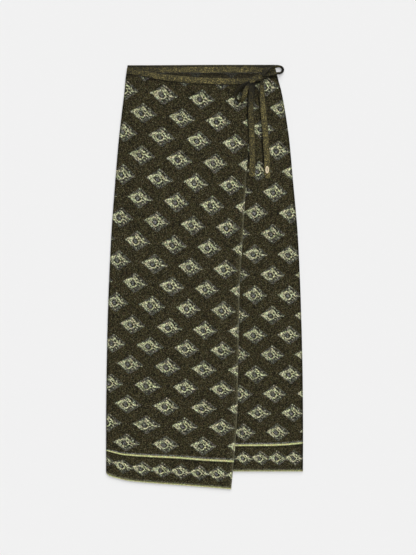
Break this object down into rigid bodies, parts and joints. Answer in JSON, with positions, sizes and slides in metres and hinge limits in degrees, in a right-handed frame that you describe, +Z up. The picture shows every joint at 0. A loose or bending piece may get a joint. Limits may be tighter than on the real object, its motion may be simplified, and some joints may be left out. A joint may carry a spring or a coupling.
{
  "type": "wrap skirt",
  "caption": "Long knitted wrap skirt laid flat: a back and two overlapping fronts under ribbed waistbands, tied in a bow at the right hip, with a small oval plate on one tie end.",
  "frame": {"origin": "centre of the laid skirt's outline, on the surface that it lies on", "axes": "+Y towards the waist, +X towards the side with the bow, +Z up out of the front"},
  "size_m": [0.433, 0.9329, 0.0197],
  "materials": {
    "jacquard_knit": "dark olive-brown jacquard knit with pale green and slate lozenges, and a fine glint of metallic yarn",
    "rib_knit": "olive-gold rib knit with metallic yarn",
    "plate_metal": "satin pale gold plating on cast zinc alloy"
  },
  "bodies": {
    "root": {"back_panel": "jacquard_knit", "under_front_panel": "jacquard_knit", "over_front_panel": "jacquard_knit", "back_waistband": "rib_knit", "under_front_waistband": "rib_knit", "over_front_waistband": "rib_knit", "tie_knot": "rib_knit", "bow_loop_left": "rib_knit", "bow_loop_right": "rib_knit", "tie_tail_left": "rib_knit", "tie_tail_right": "rib_knit", "tie_plate": "plate_metal"}
  },
  "joints": []
}
